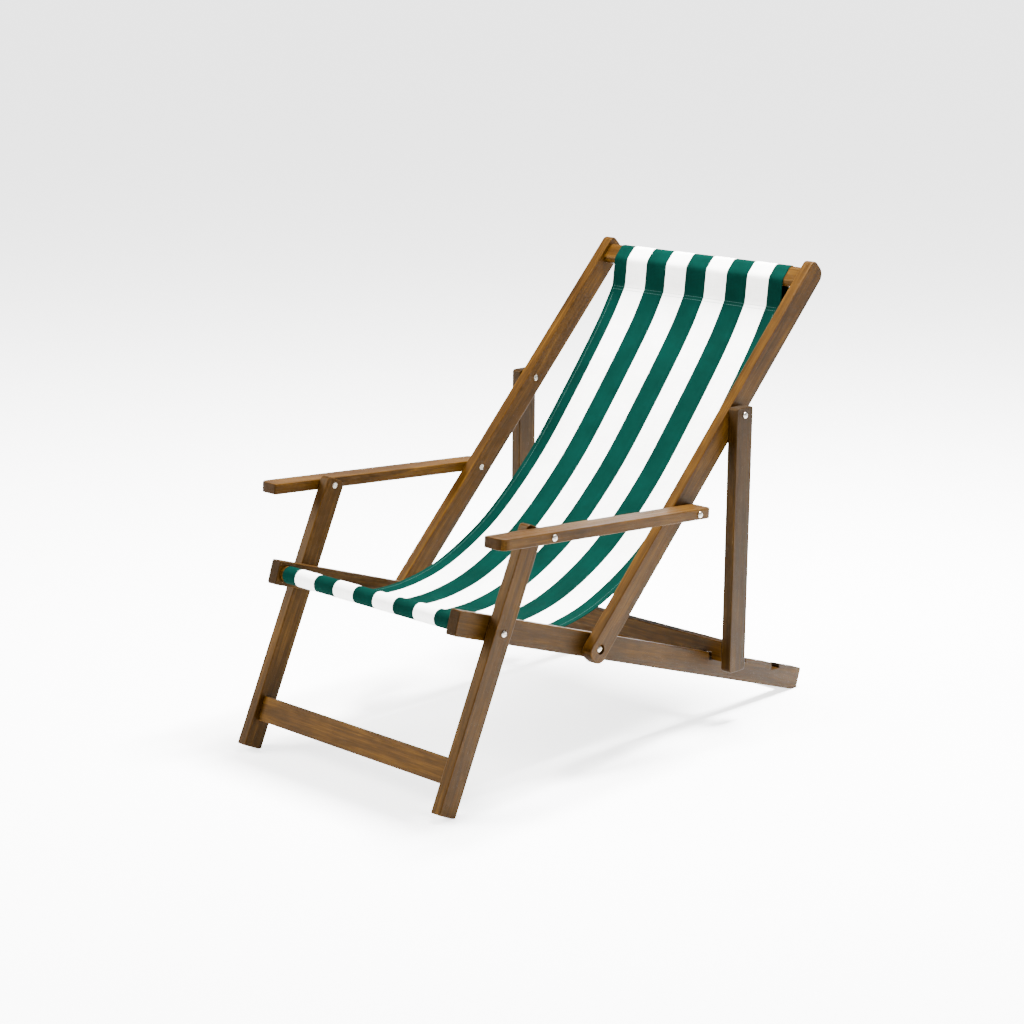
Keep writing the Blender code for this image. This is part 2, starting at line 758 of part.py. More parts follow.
def build_side(chair, side, suffix, wood, dark, steel):
    seat_rail(chair, side, "seat_rail_" + suffix, wood)
    leg(chair, side, "leg_" + suffix, wood)
    back_rail(chair, side, "back_rail_" + suffix, wood)
    arm(chair, side, "arm_" + suffix, wood)
    strut(chair, side, "prop_strut_" + suffix, dark)
    seat_end = SEAT_INNER + NUT_SEAT - NUT_BORE_DEPTH
    frame_end = LEG_INNER + NUT_SEAT - NUT_BORE_DEPTH
    sunk = LEG_OUTER - HEAD_SINK
    bolts = (
        ("seat_leg", POINT_B, LEG_OUTER, seat_end, "leg_pivot"),
        ("seat_back", POINT_F, sunk, seat_end, "back_pivot"),
        ("arm_back", POINT_G, ARM_OUTER, frame_end, "arm_pivot"),
        ("arm_leg", POINT_C, ARM_OUTER, ARM_INNER, "arm_pivot"),
        ("prop", POINT_H, STRUT_OUTER, frame_end, "prop_pivot"),
    )
    for name, point, seat_x, end_x, pivot in bolts:
        bolt_name = name + "_bolt_" + suffix
        bolt(chair, bolt_name, point, side, seat_x, end_x, steel, pivot)
    nuts = (
        ("seat_leg", POINT_B, SEAT_INNER, "leg_pivot", 0.0),
        ("seat_back", POINT_F, SEAT_INNER, "back_pivot", 0.0),
        ("arm_back", POINT_G, LEG_INNER, "arm_pivot", 0.0),
        ("arm_leg", POINT_C, LEG_INNER, "leg_pivot", TIMBER),
        ("prop", POINT_H, LEG_INNER, "prop_pivot", 0.0),
    )
    for name, point, face_x, pivot, stub in nuts:
        nut_name = name + "_nut_" + suffix
        barrel_nut(chair, nut_name, point, side, face_x, steel, pivot, stub)
    washers = (
        ("seat_leg", POINT_B, SEAT_OUTER, "leg_pivot"),
        ("seat_back", POINT_F, SEAT_OUTER, "back_pivot"),
        ("arm_back", POINT_G, LEG_OUTER, "arm_pivot"),
        ("prop", POINT_H, LEG_OUTER, "prop_pivot"),
    )
    for name, point, inner_x, pivot in washers:
        washer(chair, name + "_washer_" + suffix, point, side, inner_x, steel, pivot)


def build():
    clear_scene()
    chair = Chair()
    wood = new_material("oiled_hardwood", WOOD, 0.48)
    dark = new_material("oiled_hardwood_dark", WOOD_DARK, 0.50)
    steel = new_material("plated_steel", STEEL, 0.28, 1.0)
    cloth = new_material("striped_canvas", CANVAS, 0.90)
    chair.pivot("leg_pivot", POINT_B)
    chair.pivot("back_pivot", POINT_F)
    chair.pivot("arm_pivot", POINT_G)
    chair.pivot("prop_pivot", POINT_H)
    for side, suffix in ((1, "left"), (-1, "right")):
        build_side(chair, side, suffix, wood, dark, steel)
    front_dowel(chair, wood)
    top_bar(chair, wood)
    tenoned_rail(
        chair,
        "leg_stretcher",
        side_matrix(stretcher_centre(), LEG_SLOPE),
        (STRETCHER_HEIGHT, STRETCHER_THICKNESS),
        stretcher_tenon(),
        LEG_INNER,
        wood,
        "leg_pivot",
    )
    tenoned_rail(
        chair,
        "seat_rear_rail",
        side_matrix(rear_rail_centre(), SEAT_SLOPE),
        (REAR_RAIL_THICKNESS, REAR_RAIL_HEIGHT),
        rear_tenon(),
        SEAT_INNER,
        wood,
    )
    crossbar = tenoned_rail(
        chair,
        "prop_crossbar",
        side_matrix(crossbar_centre(), math.pi / 2),
        (CROSSBAR_HEIGHT, CROSSBAR_THICKNESS),
        crossbar_tenon(),
        ARM_INNER,
        dark,
        "prop_pivot",
    )
    cut_housings(chair, crossbar)
    canvas(chair, "canvas_seat", seat_line(), cloth)
    canvas(chair, "canvas_back", back_line(), cloth, "back_pivot")


build()
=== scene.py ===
"""Looks for the folding deck chair: grained timber, steel pivots and a striped canvas sling."""
import math

import bpy
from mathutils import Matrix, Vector, noise


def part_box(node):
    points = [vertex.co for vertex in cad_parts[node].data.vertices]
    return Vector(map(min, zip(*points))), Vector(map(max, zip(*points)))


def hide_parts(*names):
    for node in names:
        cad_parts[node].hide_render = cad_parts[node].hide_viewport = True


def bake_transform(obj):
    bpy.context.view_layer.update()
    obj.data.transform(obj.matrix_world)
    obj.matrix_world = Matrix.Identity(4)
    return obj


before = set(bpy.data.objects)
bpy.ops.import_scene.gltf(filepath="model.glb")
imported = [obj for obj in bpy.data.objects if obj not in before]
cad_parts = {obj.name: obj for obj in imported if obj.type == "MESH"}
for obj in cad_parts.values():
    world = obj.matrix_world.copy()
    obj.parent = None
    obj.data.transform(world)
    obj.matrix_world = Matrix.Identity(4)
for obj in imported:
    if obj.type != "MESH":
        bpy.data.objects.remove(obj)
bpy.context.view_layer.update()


# ------------------------------------------------------------- the chair's shape

# Side-view slopes of the timbers in degrees, from the +y direction.
SEAT_SLOPE = -18.5
BACK_SLOPE = 45.6
LEG_SLOPE = 65.1
ARM_SLOPE = -4.2
PROP_SLOPE = 89.3

# The sling's side view: y from the front feet, and z, from behind the front dowel to
# the stitch line under the top bar.
FOOT_Y = -0.48075
SLING_LINE = (
    (0.120, 0.3140), (0.190, 0.2790), (0.245, 0.2620), (0.300, 0.2590),
    (0.350, 0.2635), (0.410, 0.2765), (0.480, 0.3045), (0.560, 0.3500),
    (0.640, 0.4140), (0.710, 0.4815), (0.780, 0.5625), (0.850, 0.6480),
    (0.905, 0.7200), (0.940, 0.7760),
)

# The top bar's section: a board with rounded edges, lying along the back rails.
BAR_DEPTH = 0.044
BAR_THICKNESS = 0.0205

# Cloth, in metres.
CANVAS_HALF = 0.2175
STRIPE = 0.0522
CLOTH_THICKNESS = 0.0011
BAR_AIR = 0.0004
LAYER_GAP = 0.0018
SEAM_FRONT_REACH = 0.062
POCKET_TAIL = 0.012

# Side hems: their width, extra thickness and rolled edge.
HEM_WIDTH = 0.013
HEM_EXTRA = 0.0004
HEM_STEP = 0.001
HEM_ROLL = 0.0012
HEM_ROLL_THINNING = 0.55

# Where the cloth wraps the wood, in degrees from +y: from under the dowel, round its
# front and over it, then from the top bar's front over it and down behind it.
FRONT_WRAP = (275.0, 62.5)
POCKET_START = 178.0
POCKET_END = -31.0

# How finely the side view and the sheet are divided.
ARC_STEPS = 28
POCKET_STEPS = 8
CURVE_STEPS = 10
THINNED = 5
ROW_SPACING = 0.006
LINE_FINENESS = 4
COLUMNS = 64
HEM_COLUMN_MARGIN = 0.002
HEM_COLUMNS = (0.0015, 0.0030, 0.0070, 0.0110, 0.0138, 0.0150)

# How the cloth stands off its side-view line: edges that curl up over the belly of the
# sling, broad waves with small ripples on them, and puckers along the pocket's seam.
# None of it reaches the wood: it grows over these distances from each bar's middle.
DOWEL_CLEAR = (0.020, 0.070)
BAR_CLEAR = (0.055, 0.120)
CURL = 0.0030
CURL_POWER = 3
BELLY_Y = 0.330
BELLY_SPREAD = 0.16
BROAD_WAVE = 0.0011
BROAD_ACROSS = 7.0
BROAD_ALONG = 5.0
BROAD_SLICE = 3.1
RIPPLE_SHARE = 0.35
RIPPLE_ACROSS = 30.0
RIPPLE_ALONG = 3.5
RIPPLE_SLICE = 8.7
PUCKER = 0.00035
PUCKER_PITCH = 0.021
PUCKER_REACH = 0.016
PUCKER_WANDER = 2.5
PUCKER_WANDER_ACROSS = 40.0

# Stitching. Each ring of a stitch has its share of the length, its rise off the cloth
# and its swell, the last two in thread radii.
STITCH_PITCH = 0.0044
STITCH_LENGTH = 0.0033
THREAD_RADIUS = 0.00042
THREAD_SIDES = 5
STITCH_RINGS = ((0.0, -0.7, 0.55), (0.25, 0.25, 1.0), (0.75, 0.25, 1.0), (1.0, -0.7, 0.55))
ROW_GAP = 0.0065
HEM_STITCH = 0.0100
TOP_STITCH_INSET = 0.002
FRONT_STITCH_INSET = 0.004


# ------------------------------------------------------------------ the looks

# Oiled hardwood, from its darkest figure to its palest, and the painted shade on each kind
# of sloping timber: its share darkens that timber's wood, standing in for the shade on it.
DEEP = (0.0090, 0.0033, 0.0002)
MIDDLE = (0.0225, 0.0089, 0.0006)
PALE = (0.050, 0.0218, 0.0018)
SLOPING_TIMBERS = {
    "seat_rail": (SEAT_SLOPE, 0.68),
    "leg": (LEG_SLOPE, 0.88),
    "back_rail": (BACK_SLOPE, 1.0),
    "arm": (ARM_SLOPE, 1.0),
    "prop_strut": (PROP_SLOPE, 0.52),
}
CROSS_TIMBERS = ("front_dowel", "top_bar", "leg_stretcher", "seat_rear_rail", "prop_crossbar")
GRAIN_OFFSET = 1.7

# Wood texture: how far each pattern is drawn out along the grain, its scale, and the
# share of it in the tone.
FIGURE_STRETCH = (0.10, 1.0, 1.0)
FIBRE_STRETCH = (0.022, 1.0, 1.0)
PORE_STRETCH = (0.055, 1.0, 1.0)
RING_STRETCH = (1.0, 1.0, 0.25)
FIGURE_SCALE = 62.0
PATCH_SCALE = 9.0
FIBRE_SCALE = 950.0
STREAK_SCALE = 240.0
PORE_SCALE = 1500.0
RING_SCALE = 420.0
FIGURE_SHARE = 0.45
PATCH_SHARE = 0.25
STREAK_SHARE = 0.30
TONE_PLACES = (0.36, 0.50, 0.66)
FIBRE_RANGE = (0.30, 0.70)
FIBRE_SHADE = (0.74, 1.16)
PORE_RANGE = (0.66, 0.74)
RING_RANGE = (0.35, 0.65)
PORE_STRENGTH = 0.55
PORE_TONE = 0.35
# Paler edges: rubbed wear together with a painted highlight.
EDGE_RADIUS = 0.0022
EDGE_SAMPLES = 4
EDGE_RANGE = (0.010, 0.120)
EDGE_STRENGTH = 0.30
EDGE_TONE = 1.25
END_RANGE = (0.62, 0.88)
END_STRENGTH = 0.85
END_TONE = 0.55
WOOD_ROUGHNESS = (0.38, 0.52)
PORE_ROUGHNESS = 0.15
END_ROUGHNESS = 0.25
WOOD_SPECULAR = 0.07
WOOD_SPECULAR_TINT = (1.0, 0.72, 0.38, 1.0)
WOOD_BUMP = 0.35
WOOD_RELIEF = 0.00035

# Zinc plating.
STEEL_DULL = (0.20, 0.18, 0.15)
STEEL_BRIGHT = (0.40, 0.38, 0.34)
STEEL_PATCH_SCALE = 260.0
SCRATCH_SCALE = 2600.0
SCRATCH_STRETCH = (1.0, 0.15, 1.0)
STEEL_ROUGHNESS = (0.17, 0.36)
STEEL_BUMP = 0.2
STEEL_RELIEF = 0.00008

# Canvas and thread. The warp runs along the sling and the weft across it.
GREEN_DARK = (0.0, 0.0090, 0.0064)
GREEN_PALE = (0.0, 0.0125, 0.0090)
WHITE_DARK = (0.80, 0.79, 0.76)
WHITE_PALE = (0.90, 0.90, 0.88)
THREAD_DARK = (0.001, 0.022, 0.016)
THREAD_PALE = (0.003, 0.038, 0.028)
WARP_PITCH = 0.0011
WEFT_PITCH = 0.0013
YARN_SCALE = 1400.0
YARN_STRETCH = 0.02
WEAR_SCALE = 14.0
STRIPE_EDGE = 0.012
STRIPE_WANDER = 0.0006
STRIPE_WANDER_SCALE = 900.0
CHECKER_SHARE = 0.35
SLUB_RANGE = (0.35, 0.65)
SLUB_SHADE = (0.90, 1.07)
GAP_RANGE = (-0.1, 0.35)
GAP_SHADE = (0.82, 1.0)
CLOTH_ROUGHNESS = (0.82, 0.94)
CLOTH_SPECULAR = 0.01
CLOTH_BUMP = 0.45
CLOTH_RELIEF = 0.00022
THREAD_SCALE = 2400.0
THREAD_ROUGHNESS = 0.75
THREAD_BUMP = 0.4
THREAD_RELIEF = 0.0001
UV_SPAN = 1.5

# The studio: a pale glowing floor, two soft lights and the camera. Each light has its
# place, the point it is aimed at, its two sides in metres, its watts and its colour.
FLOOR_SIZE = 120.0
FLOOR_DARK = (0.885, 0.885, 0.890)
FLOOR_PALE = (0.900, 0.900, 0.905)
FLOOR_SCALE = 3.0
FLOOR_ROUGHNESS = 0.85
FLOOR_SPECULAR = 0.1
FLOOR_GLOW = 2.4
WORLD_STRENGTH = 0.9
LIGHTS = {
    "key": ((-3.4, -3.4, 3.3), (0.0, 0.0, 0.4), (3.0, 3.0), 1050.0, (1.0, 0.98, 0.95)),
    "top": ((0.2, 0.9, 3.3), (0.0, 0.1, 0.2), (0.9, 0.9), 1300.0, (1.0, 1.0, 1.0)),
}
CAMERA_PLACE = (3.0536, -3.2133, 1.5150)
CAMERA_ASPECT = (-0.67543, 0.69684, -0.24129)
CAMERA_LENS = 84.42
CAMERA_SENSOR = 36.0


# ---------------------------------------------------------------- node helpers

class Nodes:
    """Short calls for building one material's node tree."""

    def __init__(self, name):
        self.material = bpy.data.materials.new(name)
        self.material.use_nodes = True
        self.tree = self.material.node_tree
        self.shader = self.tree.nodes["Principled BSDF"]

    def add(self, kind, **settings):
        node = self.tree.nodes.new(kind)
        for key, value in settings.items():
            setattr(node, key, value)
        return node

    def link(self, output, socket):
        self.tree.links.new(output, socket)

    def feed(self, socket, value):
        if isinstance(value, bpy.types.NodeSocket):
            self.link(value, socket)
        else:
            socket.default_value = value

    def surface(self, name, value):
        """Give the surface one of its properties: a number, a colour or a pattern."""
        self.feed(self.shader.inputs[name], value)

    def object_space(self):
        return self.add("ShaderNodeTexCoord").outputs["Object"]

    def math(self, operation, first, second=0.0):
        node = self.add("ShaderNodeMath", operation=operation)
        self.feed(node.inputs[0], first)
        self.feed(node.inputs[1], second)
        return node.outputs[0]

    def vector_math(self, operation, first, second):
        node = self.add("ShaderNodeVectorMath", operation=operation)
        self.feed(node.inputs[0], first)
        self.feed(node.inputs[1], second)
        return node.outputs["Value"] if operation == "DOT_PRODUCT" else node.outputs[0]

    def noise(self, vector, scale, detail=3.0, roughness=0.55, distortion=0.0):
        node = self.add("ShaderNodeTexNoise")
        self.link(vector, node.inputs["Vector"])
        node.inputs["Scale"].default_value = scale
        node.inputs["Detail"].default_value = detail
        node.inputs["Roughness"].default_value = roughness
        node.inputs["Distortion"].default_value = distortion
        return node.outputs["Fac"]

    def ramp(self, value, stops):
        node = self.add("ShaderNodeValToRGB")
        self.link(value, node.inputs["Fac"])
        elements = node.color_ramp.elements
        stops = tuple(stops)
        while len(elements) < len(stops):
            elements.new(0.5)
        for element, (place, color) in zip(elements, stops):
            element.position = place
            element.color = (*color, 1.0)
        return node.outputs["Color"]

    def spread(self, value, low, high, new_low=0.0, new_high=1.0):
        node = self.add("ShaderNodeMapRange", interpolation_type="SMOOTHSTEP")
        self.link(value, node.inputs["Value"])
        node.inputs["From Min"].default_value = low
        node.inputs["From Max"].default_value = high
        node.inputs["To Min"].default_value = new_low
        node.inputs["To Max"].default_value = new_high
        return node.outputs["Result"]

    def mix(self, factor, first, second, blend="MIX"):
        node = self.add("ShaderNodeMix", data_type="RGBA", blend_type=blend)
        self.feed(node.inputs["Factor"], factor)
        for index, value in ((6, first), (7, second)):
            color = value if isinstance(value, bpy.types.NodeSocket) else (*value, 1.0)
            self.feed(node.inputs[index], color)
        return node.outputs[2]

    def darken(self, color, shade):
        """The colour times a gray of the given shade."""
        gray = self.add("ShaderNodeCombineColor")
        for channel in range(3):
            self.link(shade, gray.inputs[channel])
        return self.mix(1.0, color, gray.outputs[0], "MULTIPLY")

    def bump(self, height, strength, distance):
        node = self.add("ShaderNodeBump")
        self.link(height, node.inputs["Height"])
        node.inputs["Strength"].default_value = strength
        node.inputs["Distance"].default_value = distance
        self.surface("Normal", node.outputs["Normal"])


# ------------------------------------------------------------------- materials

def shaded(tone, share):
    return tuple(share * channel for channel in tone)


def grain_direction(slope):
    """The grain runs along the timber: up its slope, or across the chair."""
    if slope is None:
        return Vector((1.0, 0.0, 0.0))
    angle = math.radians(slope)
    return Vector((0.0, math.cos(angle), math.sin(angle)))


def grain_space(nodes, slope, offset):
    """Object coordinates turned so that x runs along the grain."""
    coordinates = nodes.object_space()
    along = grain_direction(slope)
    side = Vector((0.0, 1.0, 0.0)) if slope is None else Vector((0.0, -along.z, along.y))
    third = along.cross(side)
    combine = nodes.add("ShaderNodeCombineXYZ")
    for index, axis in enumerate((along, side, third)):
        reach = nodes.vector_math("DOT_PRODUCT", coordinates, tuple(axis))
        nodes.link(nodes.math("ADD", reach, offset), combine.inputs[index])
    return combine.outputs[0]


def wood(name, slope, deep, middle, pale, offset):
    """Oiled hardwood: broad figure, fine fibre, open pores, dark end grain, and paler edges
    that are rubbed wear with a painted highlight.
    """
    nodes = Nodes(name)
    space = grain_space(nodes, slope, offset)
    stretched = nodes.vector_math("MULTIPLY", space, FIGURE_STRETCH)
    drawn = nodes.vector_math("MULTIPLY", space, FIBRE_STRETCH)
    dashes = nodes.vector_math("MULTIPLY", space, PORE_STRETCH)
    figure = nodes.noise(stretched, FIGURE_SCALE, 5.0, 0.60, 0.9)
    patches = nodes.noise(space, PATCH_SCALE, 2.0)
    fibre = nodes.noise(drawn, FIBRE_SCALE, 3.0, 0.62)
    streak = nodes.noise(drawn, STREAK_SCALE, 3.0, 0.6, 0.3)
    pores = nodes.spread(nodes.noise(dashes, PORE_SCALE, 1.0, 0.5), *PORE_RANGE)

    tone = nodes.math(
        "ADD",
        nodes.math("MULTIPLY", figure, FIGURE_SHARE),
        nodes.math("MULTIPLY", patches, PATCH_SHARE),
    )
    tone = nodes.math("ADD", tone, nodes.math("MULTIPLY", streak, STREAK_SHARE))
    color = nodes.ramp(tone, zip(TONE_PLACES, (deep, middle, pale)))
    color = nodes.darken(color, nodes.spread(fibre, *FIBRE_RANGE, *FIBRE_SHADE))
    pore_mask = nodes.math("MULTIPLY", pores, PORE_STRENGTH)
    color = nodes.mix(pore_mask, color, shaded(deep, PORE_TONE))

    # Painted highlight with rubbed wear: every rounded edge is made paler than the palest wood.
    edge_wear_and_highlight = nodes.math("MULTIPLY", edge_mask(nodes), EDGE_STRENGTH)
    color = nodes.mix(edge_wear_and_highlight, color, shaded(pale, EDGE_TONE))
    end = end_mask(nodes, slope)
    across_rings = nodes.vector_math("MULTIPLY", space, RING_STRETCH)
    rings = nodes.noise(across_rings, RING_SCALE, 2.0, 0.5, 0.6)
    rings = nodes.spread(rings, *RING_RANGE)
    end_color = nodes.mix(rings, shaded(deep, END_TONE), deep)
    color = nodes.mix(nodes.math("MULTIPLY", end, END_STRENGTH), color, end_color)
    nodes.surface("Base Color", color)

    gloss = nodes.spread(streak, 0.3, 0.7, *WOOD_ROUGHNESS)
    gloss = nodes.math("ADD", gloss, nodes.math("MULTIPLY", pores, PORE_ROUGHNESS))
    gloss = nodes.math("ADD", gloss, nodes.math("MULTIPLY", end, END_ROUGHNESS))
    nodes.surface("Roughness", gloss)
    relief = nodes.math("SUBTRACT", nodes.math("MULTIPLY", fibre, 0.6), pores)
    relief = nodes.math("ADD", relief, nodes.math("MULTIPLY", streak, 0.7))
    nodes.bump(relief, WOOD_BUMP, WOOD_RELIEF)
    nodes.surface("Specular IOR Level", WOOD_SPECULAR)
    nodes.surface("Specular Tint", WOOD_SPECULAR_TINT)
    return nodes.material


def edge_mask(nodes):
    """Where a timber's edges are rounded over and painted paler: rubbed wear with a painted
    highlight.
    """
    soft = nodes.add("ShaderNodeBevel", samples=EDGE_SAMPLES)
    soft.inputs["Radius"].default_value = EDGE_RADIUS
    flat = nodes.add("ShaderNodeNewGeometry").outputs["Normal"]
    match = nodes.vector_math("DOT_PRODUCT", soft.outputs["Normal"], flat)
    return nodes.spread(nodes.math("SUBTRACT", 1.0, match), *EDGE_RANGE)


def end_mask(nodes, slope):
    """Where the surface faces along the grain, the cut ends of the fibres show."""
    normal = nodes.add("ShaderNodeTexCoord").outputs["Normal"]
    facing = nodes.vector_math("DOT_PRODUCT", normal, tuple(grain_direction(slope)))
    return nodes.spread(nodes.math("ABSOLUTE", facing), *END_RANGE)


def plated_steel(name):
    """Zinc-plated steel with fine turning marks and dulled patches."""
    nodes = Nodes(name)
    space = nodes.object_space()
    patches = nodes.noise(space, STEEL_PATCH_SCALE, 3.0, 0.6)
    turned = nodes.vector_math("MULTIPLY", space, SCRATCH_STRETCH)
    scratches = nodes.noise(turned, SCRATCH_SCALE, 2.0)
    color = nodes.ramp(patches, ((0.30, STEEL_DULL), (0.70, STEEL_BRIGHT)))
    nodes.surface("Base Color", color)
    nodes.surface("Metallic", 1.0)
    nodes.surface("Roughness", nodes.spread(patches, 0.3, 0.7, *STEEL_ROUGHNESS))
    nodes.bump(nodes.math("ADD", scratches, patches), STEEL_BUMP, STEEL_RELIEF)
    return nodes.material


def cloth_space(nodes):
    """The flat cloth's own coordinates in metres: across from the middle, and along."""
    coordinates = nodes.add("ShaderNodeUVMap", uv_map="cloth").outputs["UV"]
    split = nodes.add("ShaderNodeSeparateXYZ")
    nodes.link(coordinates, split.inputs[0])
    from_edge = nodes.math("MULTIPLY", split.outputs[0], UV_SPAN)
    across = nodes.math("SUBTRACT", from_edge, CANVAS_HALF)
    along = nodes.math("MULTIPLY", split.outputs[1], UV_SPAN)
    joined = nodes.add("ShaderNodeCombineXYZ")
    nodes.link(across, joined.inputs[0])
    nodes.link(along, joined.inputs[1])
    return across, along, joined.outputs[0]


def yarn(nodes, place, pitch):
    """A rounded ridge for each yarn."""
    turn = nodes.math("MULTIPLY", place, 2 * math.pi / pitch)
    return nodes.math("ADD", nodes.math("MULTIPLY", nodes.math("SINE", turn), 0.5), 0.5)


def half_turn(nodes, place, pitch):
    """A wave that changes sign at each yarn."""
    return nodes.math("SINE", nodes.math("MULTIPLY", place, math.pi / pitch))


def stripe_mask(nodes, across, space):
    """One on the green stripes and zero on the white, with slightly uneven borders."""
    drawn = nodes.vector_math("MULTIPLY", space, (1.0, 0.3, 1.0))
    wander = nodes.noise(drawn, STRIPE_WANDER_SCALE, 2.0)
    wander = nodes.math("MULTIPLY", nodes.math("SUBTRACT", wander, 0.5), STRIPE_WANDER)
    place = nodes.math("ADD", across, wander)
    wave = nodes.math("COSINE", nodes.math("MULTIPLY", place, math.pi / STRIPE))
    return nodes.spread(wave, -STRIPE_EDGE, STRIPE_EDGE)


def canvas_cloth(name):
    """Plain-woven cotton canvas with broad woven stripes."""
    nodes = Nodes(name)
    across, along, space = cloth_space(nodes)
    stripe = stripe_mask(nodes, across, space)
    warp_space = nodes.vector_math("MULTIPLY", space, (1.0, YARN_STRETCH, 1.0))
    weft_space = nodes.vector_math("MULTIPLY", space, (YARN_STRETCH, 1.0, 1.0))
    warp_slub = nodes.noise(warp_space, YARN_SCALE, 2.0, 0.6)
    weft_slub = nodes.noise(weft_space, YARN_SCALE, 2.0, 0.6)
    wear = nodes.noise(space, WEAR_SCALE, 4.0, 0.6)
    green = nodes.ramp(wear, ((0.32, GREEN_DARK), (0.68, GREEN_PALE)))
    white = nodes.ramp(wear, ((0.30, WHITE_DARK), (0.70, WHITE_PALE)))
    color = nodes.mix(stripe, white, green)

    threads = nodes.math(
        "ADD",
        nodes.math("MULTIPLY", warp_slub, 0.5),
        nodes.math("MULTIPLY", weft_slub, 0.5),
    )
    ridges = nodes.math(
        "MULTIPLY",
        yarn(nodes, across, WARP_PITCH),
        yarn(nodes, along, WEFT_PITCH),
    )
    checker = nodes.math(
        "MULTIPLY",
        half_turn(nodes, across, WARP_PITCH),
        half_turn(nodes, along, WEFT_PITCH),
    )
    weave = nodes.math("ADD", ridges, nodes.math("MULTIPLY", checker, CHECKER_SHARE))
    gaps = nodes.spread(weave, *GAP_RANGE, *GAP_SHADE)
    slubs = nodes.spread(threads, *SLUB_RANGE, *SLUB_SHADE)
    shade = nodes.math("MULTIPLY", slubs, gaps)
    nodes.surface("Base Color", nodes.darken(color, shade))
    nodes.surface("Roughness", nodes.spread(threads, 0.3, 0.7, *CLOTH_ROUGHNESS))
    nodes.surface("Specular IOR Level", CLOTH_SPECULAR)
    nodes.bump(nodes.math("ADD", weave, threads), CLOTH_BUMP, CLOTH_RELIEF)
    return nodes.material


def thread_material(name):
    """Twisted cotton thread."""
    nodes = Nodes(name)
    twist = nodes.noise(nodes.object_space(), THREAD_SCALE, 2.0)
    color = nodes.ramp(twist, ((0.3, THREAD_DARK), (0.7, THREAD_PALE)))
    nodes.surface("Base Color", color)
    nodes.surface("Roughness", THREAD_ROUGHNESS)
    nodes.bump(twist, THREAD_BUMP, THREAD_RELIEF)
    return nodes.material


def plain_floor(name):
    """A matt, almost white floor that glows, so that it stays pale far away."""
    nodes = Nodes(name)
    tone = nodes.noise(nodes.object_space(), FLOOR_SCALE, 2.0)
    color = nodes.ramp(tone, ((0.3, FLOOR_DARK), (0.7, FLOOR_PALE)))
    nodes.surface("Base Color", color)
    nodes.surface("Roughness", FLOOR_ROUGHNESS)
    nodes.surface("Specular IOR Level", FLOOR_SPECULAR)
    nodes.surface("Emission Color", (1.0, 1.0, 1.0, 1.0))
    nodes.surface("Emission Strength", FLOOR_GLOW)
    return nodes.material


# ------------------------------------------------------------------ the sling

def corners(node):
    return tuple(Vector(corner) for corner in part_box(node))


def side_centre(node):
    """The middle of a cross bar in the side view, as (y, z)."""
    low, high = corners(node)
    middle = (low + high) / 2
    return Vector((middle.y, middle.z))


def half_height(node):
    low, high = corners(node)
    return (high.z - low.z) / 2


def smooth_line(points, steps):
    """A Catmull-Rom curve through the points."""
    line = []
    last = len(points) - 1
    for index in range(last):
        before = points[max(index - 1, 0)]
        start = points[index]
        end = points[index + 1]
        after = points[min(index + 2, last)]
        for step in range(steps):
            t = step / steps
            bend = (2 * before - 5 * start + 4 * end - after) * t ** 2
            twist = (3 * start - before - 3 * end + after) * t ** 3
            line.append(0.5 * (2 * start + (end - before) * t + bend + twist))
    line.append(points[last])
    return line


def arc(centre, radius, start, end, steps):
    points = []
    for step in range(steps + 1):
        angle = math.radians(start + (end - start) * step / steps)
        points.append(centre + Vector((math.cos(angle), math.sin(angle))) * radius)
    return points


def left_normal(line, index):
    """Unit normal on the upper side of a line running from front to back."""
    start = line[max(index - 1, 0)]
    end = line[min(index + 1, len(line) - 1)]
    run = (end - start).normalized()
    return Vector((-run.y, run.x))


def front_seam(sling, dowel):
    """Where the front pocket ends, on the under side of the sling."""
    target = dowel.x + SEAM_FRONT_REACH
    index = min(range(len(sling)), key=lambda i: abs(sling[i].x - target))
    return sling[index] - left_normal(sling, index) * LAYER_GAP


def top_pocket():
    """Over the top bar's two rounded edges, from the front face to behind it."""
    bar = side_centre("top_bar")
    turn = BAR_THICKNESS / 2 + BAR_AIR + CLOTH_THICKNESS / 2
    slope = math.radians(BACK_SLOPE)
    along = Vector((math.cos(slope), math.sin(slope)))
    half = along * (BAR_DEPTH - BAR_THICKNESS) / 2
    over = BACK_SLOPE + 90.0
    lower_edge = arc(bar - half, turn, POCKET_START, over, POCKET_STEPS)
    return lower_edge + arc(bar + half, turn, over, POCKET_END, ARC_STEPS)


def sling_profile():
    """The cloth's whole side view, from the front seam to the top pocket's tail."""
    dowel = side_centre("front_dowel")
    reach = half_height("front_dowel") + BAR_AIR + CLOTH_THICKNESS / 2
    front_wrap = arc(dowel, reach, *FRONT_WRAP, ARC_STEPS)
    sling = smooth_line([Vector((FOOT_Y + y, z)) for y, z in SLING_LINE], CURVE_STEPS)
    line = smooth_line([front_wrap[-1]] + sling[::THINNED], THINNED)
    behind = sling[-1] - left_normal(sling, len(sling) - 1) * LAYER_GAP
    tail = behind - (sling[-1] - sling[-1 - THINNED]).normalized() * POCKET_TAIL
    start = [front_seam(sling, dowel)] + front_wrap[:-1]
    return start + line + top_pocket() + [behind, tail]


def resample(points, spacing):
    """Even points along a line, and its length."""
    lengths = [0.0]
    for start, end in zip(points, points[1:]):
        lengths.append(lengths[-1] + (end - start).length)
    total = lengths[-1]
    count = round(total / spacing)
    even = []
    index = 0
    for step in range(count + 1):
        place = total * step / count
        while index < len(points) - 2 and lengths[index + 1] < place:
            index += 1
        share = (place - lengths[index]) / max(lengths[index + 1] - lengths[index], 1e-9)
        even.append(points[index].lerp(points[index + 1], min(share, 1.0)))
    return even, total


def near(value, centre, spread):
    return math.exp(-((value - centre) / spread) ** 2)


def smoothstep(low, high, value):
    t = min(max((value - low) / (high - low), 0.0), 1.0)
    return t * t * (3.0 - 2.0 * t)


